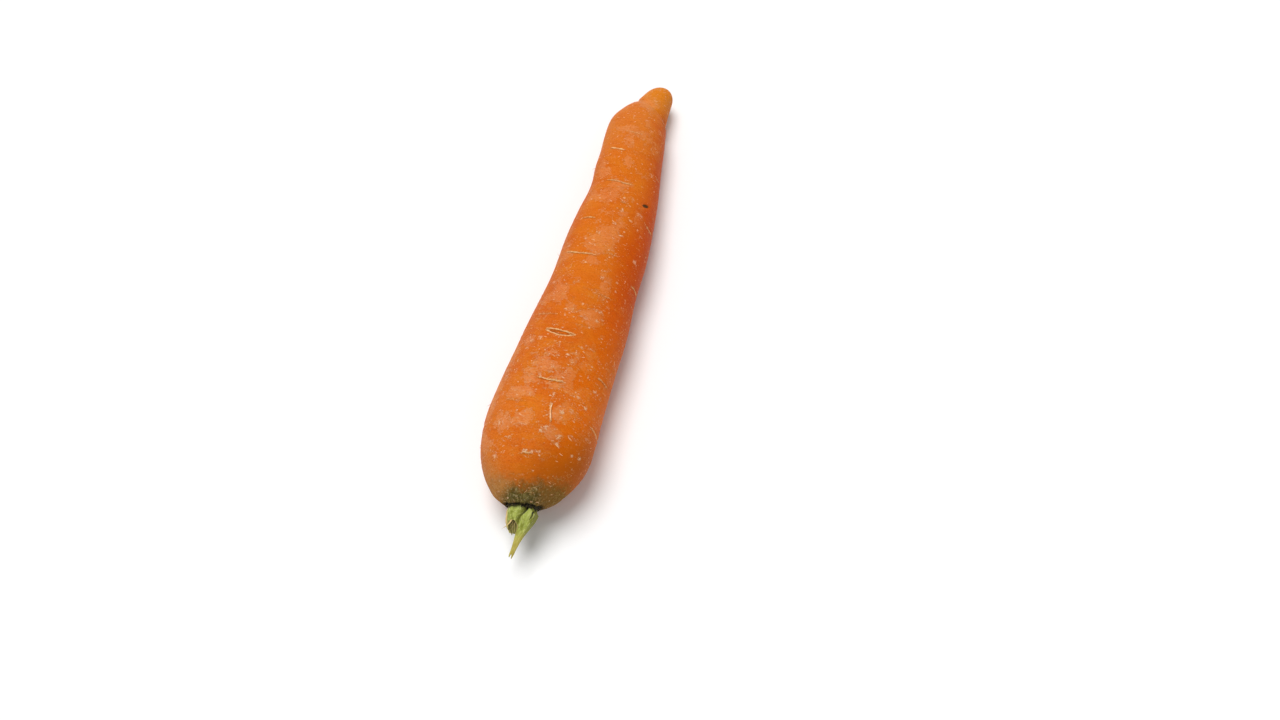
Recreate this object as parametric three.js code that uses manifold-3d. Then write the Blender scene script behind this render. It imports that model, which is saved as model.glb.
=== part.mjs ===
// A fresh carrot lying on its side, as pulled and topped: the taproot with its sunken crown, the
// stubs of three snapped leaf stalks, and the ring of dried leaf bases that they stand in.
//
// Millimetres, +Z up. +Y runs from the crown to the tail tip and +X is to the right when the crown
// faces the viewer. Z = 0 is the surface that the carrot lies on, and the origin is the middle of
// the whole carrot's footprint.
//
// Every piece is first turned straight about the Y axis, with the rim of the crown at Y = 0. It is
// then sculpted, and last it is laid along the carrot's own crooked centre line.
import * as THREE from "three";
import { mergeVertices } from "three/addons/utils/BufferGeometryUtils.js";
import Module from "manifold-3d";

const wasm = await Module();
wasm.setup();

// ---- Driving dimensions -------------------------------------------------------------------

const ROOT_LENGTH = 189; // crown rim to tail tip
const TIP_ROUNDING = 5.5; // length of the tail's round end
const ROOT_SIDES = 40;
const RING_STEP = 1.75; // spacing of the root's rings along its length

// The root's outline: distance from the crown rim, sideways offset and height of the centre line,
// and the radius there. The flat crown, the long shoulder, the waist at 133 and the blunt dome at
// 166 with the tail's nub beyond it show here.
const STATIONS = [
  [0, 0.2, 16.7, 6.9],
  [0.7, 0.2, 16.8, 8.3],
  [1.9, 0.1, 17.0, 10.5],
  [3.9, 0, 17.4, 12.7],
  [7, -0.1, 17.9, 15.1],
  [12, -0.3, 18.5, 17.7],
  [18, -0.7, 18.9, 19.4],
  [26, -1.2, 19.3, 20.1],
  [37, -1.3, 18.5, 19.4],
  [49, -0.8, 18.3, 18.9],
  [62, -0.1, 18.1, 18.3],
  [75, 0.7, 17.6, 17.3],
  [89, 1.0, 17.0, 16.3],
  [103, 1.3, 16.6, 16.1],
  [117, 1.4, 15.5, 15.3],
  [133, 1.2, 13.5, 13.6],
  [140, 0.4, 13.4, 13.6],
  [148, -0.3, 12.9, 13.0],
  [158, -1.2, 12.4, 12.6],
  [166, -1.7, 11.7, 11.6],
  [171, -1.1, 10.7, 10.0],
  [175, 0.1, 10.1, 8.5],
  [180, 1.4, 9.4, 7.0],
  [185, 2.5, 9.1, 6.0],
  [189, 3.2, 9.0, 5.5],
];

const CROWN_TURN = 0.18; // the crown's face is turned sideways by this slope
const CROWN_TURN_REACH = 34; // and the turn dies out over this length of root

const RECESS_RADIUS = 6.4; // the pit in the crown that the leaves grow from
const RECESS_DEPTH = 3.0;
const CLEARANCE = 0.3; // between neighbouring pieces

const SCALE_RING_WALL = 0.8; // thickness of the ring of dried leaf bases
const SCALE_COUNT = 15;
const SCALE_SEED = 5;

const CREASE_SEED = 11;
const CREASE_RANKS = 4; // side roots and their scars stand in four ranks along the root
const CREASES_PER_RANK = 7;

const COLOURS = {
  skin: 0xd9702a,
  stalk: 0xa9b85a,
  driedScale: 0x2e2a1c,
};

// ---- Shared tools -------------------------------------------------------------------------

function seededRandom(seed) {
  let state = seed;
  return () => {
    state = (state * 1664525 + 1013904223) % 4294967296;
    return state / 4294967296;
  };
}

const fade = (from, to, value) => THREE.MathUtils.smoothstep(value, from, to);

const centreLine = new THREE.CubicInterpolant(
  STATIONS.map((s) => s[0]),
  STATIONS.flatMap((s) => s.slice(1)),
  3,
);

// Sideways offset, height and radius of the root at a distance from the crown rim.
function stationAt(along) {
  const [sideways, height, radius] = centreLine.evaluate(along);
  return { sideways, height, radius };
}

// Changes each vertex of a geometry in place by a function that moves a THREE.Vector3.
function moveVertices(geometry, move) {
  const positions = geometry.getAttribute("position");
  const point = new THREE.Vector3();
  for (let i = 0; i < positions.count; i++) {
    point.fromBufferAttribute(positions, i);
    move(point);
    positions.setXYZ(i, point.x, point.y, point.z);
  }
  return geometry;
}

// Lays a piece that was made straight along the root's crooked centre line.
function layAlongRoot(geometry) {
  return moveVertices(geometry, (p) => {
    const { sideways, height } = stationAt(p.y);
    const turn = CROWN_TURN * (1 - fade(0, CROWN_TURN_REACH, p.y));
    p.set(p.x + sideways, p.y + turn * p.x, p.z + height);
  });
}

// A closed solid with only positions, its shared vertices merged.
function closedSurface(geometry) {
  const bare = new THREE.BufferGeometry();
  bare.setAttribute("position", geometry.getAttribute("position"));
  bare.setIndex(geometry.index);
  return mergeVertices(bare, 1e-3);
}

function toSolid(geometry) {
  const merged = closedSurface(geometry);
  return new wasm.Manifold(
    new wasm.Mesh({
      numProp: 3,
      vertProperties: merged.getAttribute("position").array,
      triVerts: new Uint32Array(merged.index.array),
    }),
  );
}

function toGeometry(solid) {
  const { vertProperties, triVerts } = solid.getMesh();
  const geometry = new THREE.BufferGeometry();
  geometry.setAttribute("position", new THREE.BufferAttribute(vertProperties, 3));
  geometry.setIndex(new THREE.BufferAttribute(triVerts, 1));
  return geometry;
}

function piece(name, geometry, colour, roughness) {
  const material = new THREE.MeshStandardMaterial({ color: colour, roughness, metalness: 0 });
  const mesh = new THREE.Mesh(geometry, material);
  mesh.name = name;
  return mesh;
}

// ---- Root ---------------------------------------------------------------------------------

// Scars of side roots: short grooves across the root with raised lips. Each has its distance from
// the crown rim, its direction round the root in degrees (0 is +X, 90 is up), how many degrees it
// spans, and its depth. Those on top are placed one by one, and the rest stand in ranks.
const TOP_CREASES = [
  [12.8, 91, 30, 0.3],
  [30, 118, 44, 0.25],
  [40, 89, 44, 0.35],
  [58.8, 97, 44, 0.6],
  [65.4, 120, 36, 0.3],
  [78, 62, 34, 0.25],
  [91.6, 100, 60, 0.45],
  [109.5, 118, 34, 0.3],
  [119, 86, 38, 0.25],
  [130, 96, 64, 0.3],
  [145.6, 111, 40, 0.45],
  [155, 84, 40, 0.25],
];

function rankedCreases() {
  const random = seededRandom(CREASE_SEED);
  const creases = [];
  for (let rank = 0; rank < CREASE_RANKS; rank++) {
    for (let i = 0; i < CREASES_PER_RANK; i++) {
      const along = 24 + ((i + random()) * (ROOT_LENGTH - 44)) / CREASES_PER_RANK;
      const angle = 190 + rank * 60 + (random() - 0.5) * 30;
      creases.push([along, angle, 30 + random() * 50, 0.25 + random() * 0.35]);
    }
  }
  return creases;
}

const CREASES = [...TOP_CREASES, ...rankedCreases()];
const CREASE_WIDTH = 1.6;

// Height of the skin's relief from the creases at a place on the root.
function creaseRelief(along, angle) {
  let relief = 0;
  for (const [middle, direction, span, depth] of CREASES) {
    const turn = angle - THREE.MathUtils.degToRad(direction);
    const sideways = Math.atan2(Math.sin(turn), Math.cos(turn));
    const acrossShare = sideways / THREE.MathUtils.degToRad(span / 2);
    const alongShare = (along - middle - 0.5 * Math.sin(3 * angle)) / CREASE_WIDTH;
    if (Math.abs(acrossShare) < 1 && Math.abs(alongShare) < 3) {
      const groove = (1 - 2 * alongShare ** 2) * Math.exp(-(alongShare ** 2));
      relief -= depth * groove * (1 - acrossShare ** 2);
    }
  }
  return relief;
}

// The root isn't round: slow swellings run along and round it, as a share of its radius.
function swelling(along, angle) {
  const grown = fade(3, 18, along);
  const oval = 0.016 * Math.sin(2 * angle + 0.5 + along / 41);
  const lobes = 0.011 * Math.sin(3 * angle - 1.2 - along / 27);
  const knuckles = 0.006 * Math.sin(along / 4.9 + 2 * angle);
  return grown * (oval + lobes + knuckles);
}

// The dome of the root ends in a slanting fold that the thin tail comes out of.
const FOLD_AT = 174; // distance from the crown rim
const FOLD_SLANT = 4.3; // how much nearer the crown it is on the right than in the middle
const FOLD_DEPTH = 0.8;

function tailFold(along, angle) {
  const beyond = along - FOLD_AT + FOLD_SLANT * Math.cos(angle);
  const groove = FOLD_DEPTH * Math.exp(-((beyond / 1.3) ** 2));
  const dome = 0.3 * FOLD_DEPTH * Math.exp(-(((beyond + 4) / 2.6) ** 2));
  return dome - groove;
}

// A fleshy lip round the pit leans out over it, most at the top.
const LIP_OVERHANG = 1.8;
const LIP_REACH = 4.5; // the flesh that leans begins this far along the root
const LIP_DIRECTION = 80; // degrees

function crownLip(along, angle, reach) {
  const facing = Math.cos(angle - THREE.MathUtils.degToRad(LIP_DIRECTION));
  return LIP_OVERHANG * (0.42 + 0.5 * facing) * (1 - fade(0, reach, along));
}

function rootProfile() {
  const profile = [
    new THREE.Vector2(0, RECESS_DEPTH),
    new THREE.Vector2(RECESS_RADIUS * 0.5, RECESS_DEPTH),
    new THREE.Vector2(RECESS_RADIUS, RECESS_DEPTH),
    new THREE.Vector2(RECESS_RADIUS, RECESS_DEPTH * 0.4),
    new THREE.Vector2(RECESS_RADIUS + 0.15, 0.15),
  ];
  const crownRings = [0, 0.4, 0.9, 1.5, 2.3, 3.2];
  const bodyFrom = 4.4;
  const roundFrom = ROOT_LENGTH - TIP_ROUNDING;
  const bodyCount = Math.round((roundFrom - bodyFrom) / RING_STEP);
  const bodyRings = Array.from(
    { length: bodyCount + 1 },
    (_, i) => THREE.MathUtils.lerp(bodyFrom, roundFrom, i / bodyCount),
  );
  for (const along of [...crownRings, ...bodyRings])
    profile.push(new THREE.Vector2(stationAt(along).radius, along));
  const tipRings = 6;
  for (let i = 1; i <= tipRings; i++) {
    const turn = (i / tipRings) * (Math.PI / 2);
    const along = roundFrom + TIP_ROUNDING * Math.sin(turn);
    const radius = i === tipRings ? 0 : stationAt(along).radius * Math.cos(turn);
    profile.push(new THREE.Vector2(radius, along));
  }
  return profile;
}

function rootGeometry() {
  const turned = closedSurface(new THREE.LatheGeometry(rootProfile(), ROOT_SIDES));
  const sculpted = moveVertices(turned, (p) => {
    const radius = Math.hypot(p.x, p.z);
    const angle = Math.atan2(p.z, p.x);
    if (radius < 1e-6) return;
    const relief = creaseRelief(p.y, angle) + tailFold(p.y, angle);
    const share = 1 + swelling(p.y, angle) + relief / radius;
    const inPit = radius < RECESS_RADIUS + CLEARANCE;
    const lip = crownLip(p.y, angle, inPit ? RECESS_DEPTH : LIP_REACH);
    p.set(p.x * share, p.y - lip, p.z * share);
  });
  const laid = layAlongRoot(sculpted);
  // Its own weight has pressed the underside flat where it rests.
  return moveVertices(laid, (p) => p.setZ(Math.max(p.z, 0)));
}

// ---- Crown: dried leaf bases and leaf stalks ----------------------------------------------

// A ring of dried leaf bases lines the pit, with a ragged fringe of small pointed scales.
function driedScales() {
  const outer = RECESS_RADIUS - CLEARANCE;
  const inner = outer - SCALE_RING_WALL;
  const bottom = RECESS_DEPTH - CLEARANCE;
  const top = -0.9;
  const section = [
    new THREE.Vector2(inner, bottom),
    new THREE.Vector2(inner, top),
    new THREE.Vector2(outer, top),
    new THREE.Vector2(outer, bottom),
    new THREE.Vector2(inner, bottom),
  ];
  let ring = toSolid(new THREE.LatheGeometry(section, 30));
  const random = seededRandom(SCALE_SEED);
  for (let i = 0; i < SCALE_COUNT; i++) {
    const turn = ((i + 0.3 * random()) / SCALE_COUNT) * Math.PI * 2;
    const length = 1.0 + random();
    const scale = new THREE.ConeGeometry(SCALE_RING_WALL / 2, length + 1.2, 6);
    scale.scale(1.6, 1, 0.9);
    scale.rotateX(Math.PI);
    scale.translate(0, top - length / 2 + 0.6, (inner + outer) / 2);
    scale.rotateY(turn);
    ring = ring.add(toSolid(scale));
  }
  return layAlongRoot(toGeometry(ring));
}

const STALK_BASE = RECESS_DEPTH - CLEARANCE; // the stalks stand on the floor of the pit
const CLUMP_RADIUS = RECESS_RADIUS - SCALE_RING_WALL - 2 * CLEARANCE;
const UNDER_TOP = -2.1; // the stub underneath fills the clump up to this height

// The upright face between the hollow stub and the long one, at a distance outwards.
const splitAt = (out) => 2.3 - 1.9 * fade(5.2, 9.2, out);

// Near their feet the two are widened towards each other, and that face cuts them off.
const pressed = (out) => 1.5 - 0.5 * fade(6.5, 9.5, out);

// A snapped stalk, turned about its own axis and pointing towards -Y from the pit's floor.
// profile lists radius and distance outwards, course lists distance outwards with the sideways
// offset and height of the stalk's own centre there, and shape moves each vertex before that.
function stalk(profile, course, sides, shape) {
  const points = profile.map(([radius, out]) => new THREE.Vector2(radius, -out));
  const turned = closedSurface(new THREE.LatheGeometry(points.reverse(), sides));
  const centre = new THREE.CubicInterpolant(
    course.map((c) => c[0]),
    course.flatMap((c) => c.slice(1)),
    2,
  );
  const shaped = moveVertices(turned, (p) => {
    const [sideways, height] = centre.evaluate(-p.y);
    shape(p, -p.y, Math.atan2(p.z, p.x));
    p.x += sideways;
    p.z += height;
    keepInClump(p);
  });
  return shaped.translate(0, STALK_BASE, 0);
}

// Keeps a stalk's foot inside the round clump until it is clear of the dried scales.
function keepInClump(p) {
  const radius = Math.hypot(p.x, p.z);
  const limit = CLUMP_RADIUS + 2 * fade(4.6, 8.5, -p.y);
  if (radius > limit) {
    p.x *= limit / radius;
    p.z *= limit / radius;
  }
}

// Ribs along a leaf stalk, as a factor on its radius that grows from its foot.
const ribbed = (angle, out, ribs, depth) => 1 + depth * fade(1, 6, out) * Math.cos(ribs * angle);

// The longest stub: broad at its foot, and torn down to one long strip with a split end.
function longStalk() {
  const profile = [
    [0, 0],
    [1.2, 0],
    [2.3, 0],
    [2.5, 1.6],
    [2.8, 3.2],
    [3.2, 5],
    [3.4, 7],
    [3.2, 8.8],
    [2.6, 10.6],
    [1.9, 12.6],
    [1.35, 14.8],
    [1.0, 17],
    [0.75, 19.4],
    [0.45, 21],
    [0, 21.3],
  ];
  const course = [
    [0, 2.9, 1.0],
    [4, 2.9, 1.2],
    [7, 2.8, 1.3],
    [10.6, 2.4, 0.5],
    [14.8, 1.3, -1.2],
    [21.3, 0, -4.2],
  ];
  const solid = stalk(profile, course, 20, (p, out, angle) => {
    const rib = ribbed(angle, out, 7, 0.07);
    const thickness = THREE.MathUtils.lerp(1.1, 0.55, fade(4, 14, out));
    p.x *= p.x < 0 ? rib * pressed(out) : rib;
    p.z *= rib * thickness;
  });
  moveVertices(solid, (p) => {
    const out = STALK_BASE - p.y;
    p.x = Math.max(p.x, splitAt(out) + CLEARANCE / 2 - 2 * fade(13.8, 20, out));
    p.z = Math.max(p.z, UNDER_TOP + CLEARANCE - 10 * fade(10, 18, out));
  });
  return layAlongRoot(solid);
}

// A splinter of skin that sticks out sideways from the hollow stub's torn edge.
const SPLINTER_FOOT = new THREE.Vector3(-2.6, -5.6, 2.0); // sunk into the stub's wall
const SPLINTER_TIP = new THREE.Vector3(-4.5, -9.9, 2.3);
const SPLINTER_RADIUS = 0.4;

function splinter() {
  const reach = SPLINTER_TIP.clone().sub(SPLINTER_FOOT);
  const cone = new THREE.ConeGeometry(SPLINTER_RADIUS, reach.length(), 6);
  const upright = new THREE.Vector3(0, 1, 0);
  const direction = reach.clone().normalize();
  cone.applyQuaternion(new THREE.Quaternion().setFromUnitVectors(upright, direction));
  const middle = SPLINTER_FOOT.clone().lerp(SPLINTER_TIP, 0.5);
  return cone.translate(middle.x, middle.y, middle.z);
}

// A shorter stub beside the long one, hollow and snapped at a steep slant so that the cavity shows.
function hollowStalk() {
  const profile = [
    [0, 0],
    [1.6, 0],
    [3.4, 0],
    [3.5, 2],
    [3.5, 4.5],
    [2.9, 7],
    [2.3, 9.2],
    [2.0, 11.3],
    [1.6, 11.2],
    [1.5, 9.8],
    [1.3, 8.2],
    [0.8, 7.0],
    [0, 6.8],
  ];
  const course = [
    [0, -1.5, 1.0],
    [4, -1.6, 1.2],
    [7, -1.9, 1.0],
    [9.2, -2.1, 0.5],
    [11.4, -1.5, 0.1],
    [13.6, -0.8, -0.2],
  ];
  const solid = stalk(profile, course, 18, (p, out, angle) => {
    const ragged = 0.3 * Math.sin(3 * angle) + 0.2 * Math.sin(5 * angle + 1);
    p.y += fade(5, 9.5, out) * (2.2 * Math.sin(angle) + ragged);
    const rib = ribbed(angle, out, 6, 0.05);
    p.x *= p.x > 0 ? rib * pressed(out) : rib;
    p.z *= rib;
  });
  moveVertices(solid, (p) => {
    p.x = Math.min(p.x, splitAt(STALK_BASE - p.y) - CLEARANCE / 2);
    p.z = Math.max(p.z, UNDER_TOP + CLEARANCE);
  });
  return layAlongRoot(toGeometry(toSolid(solid).add(toSolid(splinter()))));
}

// A short solid stub underneath, snapped straight across with a ragged end.
function underStalk() {
  const profile = [
    [0, 0],
    [2.0, 0],
    [4.0, 0],
    [4.1, 1.6],
    [4.1, 3.4],
    [4.0, 5.2],
    [3.6, 6.8],
    [2.4, 7.2],
    [1.2, 6.6],
    [0, 6.9],
  ];
  const course = [
    [0, 0.1, -3.4],
    [3.6, 0.1, -3.4],
    [7.2, 0.3, -3.9],
  ];
  const solid = stalk(profile, course, 20, (p, out, angle) => {
    const ragged = 0.6 * Math.sin(4 * angle + 2) + 0.4 * Math.sin(7 * angle);
    p.y -= fade(4, 7, out) * ragged * Math.min(1, Math.hypot(p.x, p.z) / 2);
    p.x *= ribbed(angle, out, 8, 0.05);
    p.z *= ribbed(angle, out, 8, 0.05) * 0.45;
  });
  moveVertices(solid, (p) => p.setZ(Math.min(p.z, UNDER_TOP)));
  return layAlongRoot(solid);
}

// ---- The whole carrot ---------------------------------------------------------------------

const carrot = new THREE.Group();
carrot.add(
  piece("root", rootGeometry(), COLOURS.skin, 0.5),
  piece("dry_scales", driedScales(), COLOURS.driedScale, 0.9),
  piece("stalk_long", longStalk(), COLOURS.stalk, 0.6),
  piece("stalk_hollow", hollowStalk(), COLOURS.stalk, 0.6),
  piece("stalk_under", underStalk(), COLOURS.stalk, 0.6),
);

const footprint = new THREE.Box3().setFromObject(carrot);
const middle = footprint.getCenter(new THREE.Vector3());
carrot.position.set(-middle.x, -middle.y, 0);

export default carrot;
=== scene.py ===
import math
import random

import bpy
import numpy as np
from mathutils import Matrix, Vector


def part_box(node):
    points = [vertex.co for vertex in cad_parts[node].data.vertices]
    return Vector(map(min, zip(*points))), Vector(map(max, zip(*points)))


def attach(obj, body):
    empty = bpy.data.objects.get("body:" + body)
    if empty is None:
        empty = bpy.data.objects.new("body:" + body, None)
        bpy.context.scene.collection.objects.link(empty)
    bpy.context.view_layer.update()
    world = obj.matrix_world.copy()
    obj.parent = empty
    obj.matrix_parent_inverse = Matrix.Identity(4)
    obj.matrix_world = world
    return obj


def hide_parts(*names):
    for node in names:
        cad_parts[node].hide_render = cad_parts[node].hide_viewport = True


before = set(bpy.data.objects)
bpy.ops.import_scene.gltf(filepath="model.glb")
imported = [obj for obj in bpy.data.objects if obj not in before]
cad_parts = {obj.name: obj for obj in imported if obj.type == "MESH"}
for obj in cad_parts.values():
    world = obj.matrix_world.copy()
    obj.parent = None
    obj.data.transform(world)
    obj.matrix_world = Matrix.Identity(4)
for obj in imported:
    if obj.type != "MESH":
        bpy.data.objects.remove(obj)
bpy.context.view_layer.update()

MM = 0.001

# ---- Camera ---------------------------------------------------------------------------------
# The camera looks steeply down on the carrot, with the crown towards it and a little to the left.

CAMERA_AIM = Vector((0.0250, -0.0147, 0.0))  # the point of the table in the middle of the view
CAMERA_DISTANCE = 0.430
CAMERA_AZIMUTH = math.radians(14.5)
CAMERA_ELEVATION = math.radians(66)
CAMERA_LENS = 31.5

camera_data = bpy.data.cameras.new("camera")
camera_data.lens = CAMERA_LENS
camera_data.clip_start = 0.01
camera = bpy.data.objects.new("camera", camera_data)
bpy.context.scene.collection.objects.link(camera)
bpy.context.scene.camera = camera
towards_camera = Vector((
    math.sin(CAMERA_AZIMUTH) * math.cos(CAMERA_ELEVATION),
    -math.cos(CAMERA_AZIMUTH) * math.cos(CAMERA_ELEVATION),
    math.sin(CAMERA_ELEVATION),
))
camera.location = CAMERA_AIM + towards_camera * CAMERA_DISTANCE
camera.rotation_euler = (-towards_camera).to_track_quat("-Z", "Y").to_euler()

# ---- Root: its shape ------------------------------------------------------------------------
# The taproot is one piece that grew as one: the sunken crown, the long shoulder, a waist, and a
# blunt dome that the thin tail comes out of. It is turned straight along Y first, with the crown's
# rim at zero, then sculpted, and last laid along its own crooked centre line.

ROOT_LENGTH = 189.0  # everything in this section is in millimetres
TIP_ROUNDING = 5.5
RECESS_RADIUS = 6.4
RECESS_DEPTH = 3.0
CROWN_TURN = 0.18  # the crown's face is turned sideways by this slope
CROWN_TURN_REACH = 34.0
ROOT_SIDES = 24
ROOT_SUBDIVISIONS = 3

# Distance from the crown rim, sideways offset and height of the centre line, and radius.
STATIONS = np.array([
    (0, 0.2, 16.7, 6.9), (0.7, 0.2, 16.8, 8.3), (1.9, 0.1, 17.0, 10.5),
    (3.9, 0, 17.4, 12.7), (7, -0.1, 17.9, 15.1), (12, -0.3, 18.5, 17.7),
    (18, -0.7, 18.9, 19.4), (26, -1.2, 19.3, 20.1), (37, -1.3, 18.5, 19.4),
    (49, -0.8, 18.3, 18.9), (62, -0.1, 18.1, 18.3), (75, 0.7, 17.6, 17.3),
    (89, 1.0, 17.0, 16.3), (103, 1.3, 16.6, 16.1), (117, 1.4, 15.5, 15.3),
    (133, 1.2, 13.5, 13.6), (140, 0.4, 13.4, 13.6), (148, -0.3, 12.9, 13.0),
    (158, -1.2, 12.4, 12.6), (166, -1.7, 11.7, 11.6), (171, -1.1, 10.7, 10.0),
    (175, 0.1, 10.1, 8.5), (180, 1.4, 9.4, 7.0), (185, 2.5, 9.1, 6.0),
    (189, 3.2, 9.0, 5.5),
])


def stations_at(along):
    """Sideways offset, height and radius at distances from the crown rim, on smooth curves."""
    along = np.clip(along, 0, ROOT_LENGTH)
    places, values = STATIONS[:, 0], STATIONS[:, 1:]
    slopes = np.gradient(values, places, axis=0)
    i = np.clip(np.searchsorted(places, along) - 1, 0, len(places) - 2)
    gap = places[i + 1] - places[i]
    t = ((along - places[i]) / gap)[..., None]
    start, end = values[i], values[i + 1]
    leave, arrive = slopes[i] * gap[..., None], slopes[i + 1] * gap[..., None]
    curve = (
        start * (2 * t**3 - 3 * t**2 + 1)
        + leave * (t**3 - 2 * t**2 + t)
        + end * (3 * t**2 - 2 * t**3)
        + arrive * (t**3 - t**2)
    )
    return curve[..., 0], curve[..., 1], curve[..., 2]


def fade(start, end, value):
    t = np.clip((value - start) / (end - start), 0, 1)
    return t * t * (3 - 2 * t)


def root_rings():
    """Radius and place of each ring that the root is extruded through."""
    rings = [
        (RECESS_RADIUS * 0.6, RECESS_DEPTH),
        (RECESS_RADIUS - 0.1, RECESS_DEPTH),
        (RECESS_RADIUS, RECESS_DEPTH - 0.4),
        (RECESS_RADIUS, RECESS_DEPTH * 0.4),
        (RECESS_RADIUS + 0.1, 0.1),
    ]
    shoulder = np.array([0, 0.35, 0.8, 1.4, 2.1, 3, 4.2, 5.8, 7.8, 10.2, 13, 16.5, 20.5])
    body = np.linspace(25, 165, 29)
    tail = np.linspace(168, ROOT_LENGTH - TIP_ROUNDING, 8)
    for along in np.concatenate([shoulder, body, tail]):
        rings.append((stations_at(along)[2], along))
    for turn in np.radians([20, 40, 58, 74, 84]):
        along = ROOT_LENGTH - TIP_ROUNDING * (1 - math.sin(turn))
        rings.append((stations_at(along)[2] * math.cos(turn), along))
    return rings


def extruded_along_y(name, rings, sides, closing_place):
    """Extrudes a circle ring by ring along Y, in millimetres, and closes both ends in a point."""
    bpy.ops.object.select_all(action="DESELECT")
    first_radius, first_place = rings[0]
    bpy.ops.mesh.primitive_circle_add(
        vertices=sides,
        radius=first_radius,
        location=(0, first_place, 0),
        rotation=(math.radians(90), 0, 0),
    )
    piece = bpy.context.object
    piece.name = name
    bpy.ops.object.transform_apply(location=True, rotation=True, scale=True)
    bpy.ops.object.mode_set(mode="EDIT")
    bpy.ops.mesh.select_all(action="SELECT")
    radius, place = first_radius, first_place
    for next_radius, next_place in rings[1:]:
        bpy.ops.mesh.extrude_region_move(
            TRANSFORM_OT_translate={"value": (0, next_place - place, 0)}
        )
        factor = next_radius / radius
        bpy.ops.transform.resize(value=(factor, 1, factor), center_override=(0, next_place, 0))
        radius, place = next_radius, next_place
    bpy.ops.mesh.extrude_region_move(
        TRANSFORM_OT_translate={"value": (0, closing_place - place, 0)}
    )
    bpy.ops.mesh.merge(type="CENTER")
    bpy.ops.mesh.select_all(action="DESELECT")
    bpy.ops.object.mode_set(mode="OBJECT")
    for vertex in piece.data.vertices:
        radius = math.hypot(vertex.co.x, vertex.co.z)
        vertex.select = (
            abs(vertex.co.y - first_place) < 1e-4 and abs(radius - first_radius) < 1e-3
        )
    bpy.ops.object.mode_set(mode="EDIT")
    bpy.ops.mesh.select_mode(type="VERT")
    bpy.ops.mesh.extrude_region_move()
    bpy.ops.mesh.merge(type="CENTER")
    bpy.ops.mesh.select_all(action="SELECT")
    bpy.ops.mesh.normals_make_consistent(inside=False)
    bpy.ops.object.mode_set(mode="OBJECT")
    return piece


def smooth(piece):
    for polygon in piece.data.polygons:
        polygon.use_smooth = True


def subdivided(piece, levels):
    modifier = piece.modifiers.new("subdivision", "SUBSURF")
    modifier.levels = levels
    modifier.render_levels = levels
    bpy.context.view_layer.objects.active = piece
    bpy.ops.object.modifier_apply(modifier=modifier.name)
    smooth(piece)


def points_of(piece):
    points = np.empty(len(piece.data.vertices) * 3, dtype=np.float32)
    piece.data.vertices.foreach_get("co", points)
    return points.reshape(-1, 3).astype(float)


def move_points(piece, points):
    piece.data.vertices.foreach_set("co", points.astype(np.float32).ravel())
    piece.data.update()


def keep_attribute(piece, name, values):
    """Stores a value or a vector for each vertex, for the material to read."""
    kind, field = ("FLOAT_VECTOR", "vector") if values.ndim == 2 else ("FLOAT", "value")
    attribute = piece.data.attributes.new(name, kind, "POINT")
    attribute.data.foreach_set(field, values.astype(np.float32).ravel())


def columns(x, y, z):
    return np.stack([x, y, z], axis=1)


# The crown's middle in the frame, in metres: the tail's tip is the root's far end.
root_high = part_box("root")[1]
CROWN_PLACE = np.array([0.00146, root_high.y - ROOT_LENGTH * MM, 0.0])


def laid_along_root(points):
    """Lays points made straight, in millimetres, along the crooked centre line, in metres."""
    sideways, height, _ = stations_at(points[:, 1])
    turn = CROWN_TURN * (1 - fade(0, CROWN_TURN_REACH, points[:, 1]))
    slanted = points[:, 1] + turn * points[:, 0]
    return columns(points[:, 0] + sideways, slanted, points[:, 2] + height) * MM + CROWN_PLACE


# Scars of side roots: distance from the rim, direction in degrees (90 is up), degrees spanned,
# depth, and half the groove's width.
TOP_SCARS = [
    (12.8, 93, 18, 0.18, 0.7), (30, 118, 40, 0.12, 0.8), (40.2, 87, 36, 0.25, 0.6),
    (58.8, 97, 40, 0.45, 2.4), (65.6, 125, 50, 0.14, 0.5), (78, 62, 30, 0.15, 0.8),
    (93.5, 114, 58, 0.22, 0.55), (95.8, 68, 18, 0.15, 0.6), (109.5, 118, 26, 0.2, 0.8),
    (119.8, 78, 18, 0.15, 0.6), (130, 96, 60, 0.2, 0.9), (145.6, 111, 34, 0.3, 0.8),
    (155, 84, 34, 0.15, 0.8),
]

SCAR_RANKS = 4
SCARS_IN_RANK = 7
WRINKLE_COUNT = 260


def ranked_scars():
    """Scars on the sides and underneath, in ranks as side roots stand."""
    draw = random.Random(11)
    scars = []
    for rank in range(SCAR_RANKS):
        for i in range(SCARS_IN_RANK):
            along = 24 + (i + draw.random()) * (ROOT_LENGTH - 44) / SCARS_IN_RANK
            direction = 190 + rank * 60 + draw.uniform(-15, 15)
            scars.append((along, direction, draw.uniform(24, 60), draw.uniform(0.15, 0.35), 0.8))
    return scars


def fine_wrinkles():
    """Short shallow wrinkles that run across the root all over it."""
    draw = random.Random(23)
    ranges = ((10, ROOT_LENGTH - 6), (0, 360), (12, 46), (0.04, 0.13), (0.5, 1.2))
    return [[draw.uniform(*ends) for ends in ranges] for _ in range(WRINKLE_COUNT)]


SCARS = TOP_SCARS + ranked_scars()
WRINKLES = fine_wrinkles()
GAPING = 1.5  # a scar that is wider than this healed round its gap

# One short scar runs lengthwise, where the skin was pinched, and one small pit has gone brown.
# Each has its distance from the rim, direction, half its length, degrees to a side, and degrees
# that it slants by in each millimetre.
PINCH = (27.5, 77, 3.6, 2.0, 0.6)
PINCH_RADIUS = 20.0  # of the root there
PIT = (123.1, 41.5, 1.25, 6.0, -4)


def degrees_from(angle, direction):
    """Degrees round the root, to either side of a direction given in degrees."""
    turn = angle - np.radians(direction)
    return np.degrees(np.arctan2(np.sin(turn), np.cos(turn)))


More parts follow.
